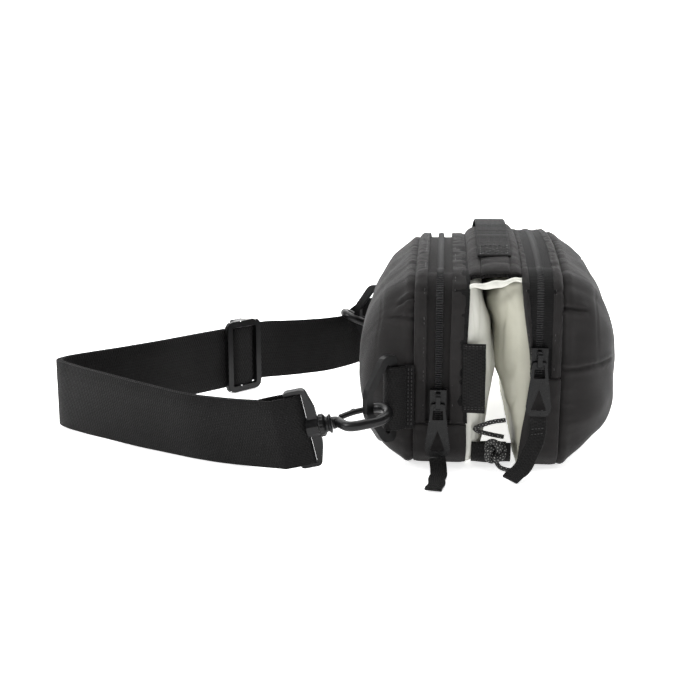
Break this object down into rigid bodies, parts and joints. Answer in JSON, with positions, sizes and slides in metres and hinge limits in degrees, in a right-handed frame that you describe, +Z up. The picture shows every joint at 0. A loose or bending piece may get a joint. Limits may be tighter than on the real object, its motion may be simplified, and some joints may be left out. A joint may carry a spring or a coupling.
{
  "type": "throw rope bag",
  "caption": "Belt-worn throw rope bag: two padded zipped halves on a top bridge with a light rope sleeve between, and a webbing waist strap with snap hooks on triangle rings.",
  "frame": {"origin": "centre of the back half's flat base, the half next to the wearer", "axes": "+Z up, +Y along the bag from the near end to the far end, +X from the wearer's side to the front; the strap loop lies on -X"},
  "size_m": [0.4062, 0.351, 0.1486],
  "materials": {
    "softshell": "matt charcoal stretch-woven shell fabric",
    "lining": "cream coated lining, satin",
    "webbing": "ribbed black webbing",
    "zip_tape": "woven zip tape",
    "zip_coil": "nylon coil",
    "plastic": "satin black moulded acetal",
    "black_metal": "black lacquered zinc",
    "cord": "braided elastic cord"
  },
  "bodies": {
    "root": {"back_base_panel": "softshell", "back_outer_panel": "softshell", "back_sleeve_cushion": "lining", "back_zip_coil": "zip_coil", "back_zip_panel": "softshell", "back_zip_tape": "zip_tape", "bottom_strip": "softshell", "bridge_panel": "softshell", "cord_knot": "cord", "cord_tail": "cord", "far_ring_tab": "webbing", "grab_handle": "webbing", "near_ring_tab": "webbing", "shock_cord": "cord", "sleeve_hem": "lining", "sleeve_pull_tab": "webbing"},
    "front_half": {"front_base_panel": "softshell", "front_outer_panel": "softshell", "front_sleeve_cushion": "lining", "front_zip_coil": "zip_coil", "front_zip_panel": "softshell", "front_zip_tape": "zip_tape"},
    "back_slider": {"back_slider": "black_metal"},
    "front_slider": {"front_slider": "black_metal"},
    "back_puller": {"back_puller_plate": "black_metal", "back_puller_tail": "webbing"},
    "front_puller": {"front_puller_plate": "black_metal", "front_puller_tail": "webbing"},
    "near_ring": {"near_ring": "plastic"},
    "far_ring": {"far_ring": "plastic"},
    "strap": {"strap_webbing": "webbing", "near_strap_frame": "plastic", "far_strap_frame": "plastic"},
    "triglide": {"triglide": "plastic"},
    "near_hook": {"near_hook": "plastic", "near_swivel_barrel": "plastic"},
    "far_hook": {"far_hook": "plastic", "far_swivel_barrel": "plastic"},
    "near_gate": {"near_gate": "plastic"},
    "far_gate": {"far_gate": "plastic"}
  },
  "joints": [
    {"name": "front_half_spread", "type": "hinge", "parent": "root", "child": "front_half", "pos_m": [0.05115, 0, 0.131], "axis": [0, -1, 0], "range_deg": [0, 8]},
    {"name": "near_ring_swing", "type": "hinge", "parent": "root", "child": "near_ring", "pos_m": [-0.03175, -0.128, 0.048], "axis": [0, 0, 1], "range_deg": [-3, 3]},
    {"name": "far_ring_swing", "type": "hinge", "parent": "root", "child": "far_ring", "pos_m": [-0.05575, 0.128, 0.056], "axis": [0, 0, 1], "range_deg": [-3, 0]},
    {"name": "strap_lift", "type": "hinge", "parent": "root", "child": "strap", "pos_m": [-0.04525, -0.144, 0.04], "axis": [-0.1039, 0.9934, 0.0491], "range_deg": [0, 9]},
    {"name": "triglide_slide", "type": "slide", "parent": "strap", "child": "triglide", "axis": [0.5879, 0.8089, 0], "range_m": [-0.014, 0.014]},
    {"name": "near_hook_swivel", "type": "hinge", "parent": "strap", "child": "near_hook", "pos_m": [-0.04325, -0.1438, 0.04], "axis": [-0.9776, -0.0499, -0.2045], "range_deg": [-10, 10]},
    {"name": "far_hook_swivel", "type": "hinge", "parent": "strap", "child": "far_hook", "pos_m": [-0.07785, 0.1408, 0.054], "axis": [0.8627, 0.3372, -0.3768], "range_deg": [-10, 2]},
    {"name": "near_gate_press", "type": "hinge", "parent": "near_hook", "child": "near_gate", "pos_m": [-0.0653, -0.13904, 0.03667], "axis": [-0.19, -0.2086, 0.9594], "range_deg": [-8, 0], "stiffness_Nm_per_rad": 0.02, "springref_deg": 5.73},
    {"name": "far_gate_press", "type": "hinge", "parent": "far_hook", "child": "far_gate", "pos_m": [-0.06083, 0.15386, 0.04626], "axis": [0.3856, 0.0435, 0.9217], "range_deg": [0, 8], "stiffness_Nm_per_rad": 0.02, "springref_deg": -5.73},
    {"name": "back_zip_slide", "type": "slide", "parent": "root", "child": "back_slider", "axis": [0, 0, 1], "range_m": [0, 0.045]},
    {"name": "front_zip_slide", "type": "slide", "parent": "front_half", "child": "front_slider", "axis": [0, 0, 1], "range_m": [0, 0.018]},
    {"name": "back_puller_flip", "type": "hinge", "parent": "back_slider", "child": "back_puller", "pos_m": [-0.00125, -0.1321, 0.04455], "axis": [-1, 0, 0], "range_deg": [0, 110]},
    {"name": "front_puller_flip", "type": "hinge", "parent": "front_slider", "child": "front_puller", "pos_m": [0.06325, -0.1321, 0.07355], "axis": [-1, 0, 0], "range_deg": [0, 110]}
  ]
}
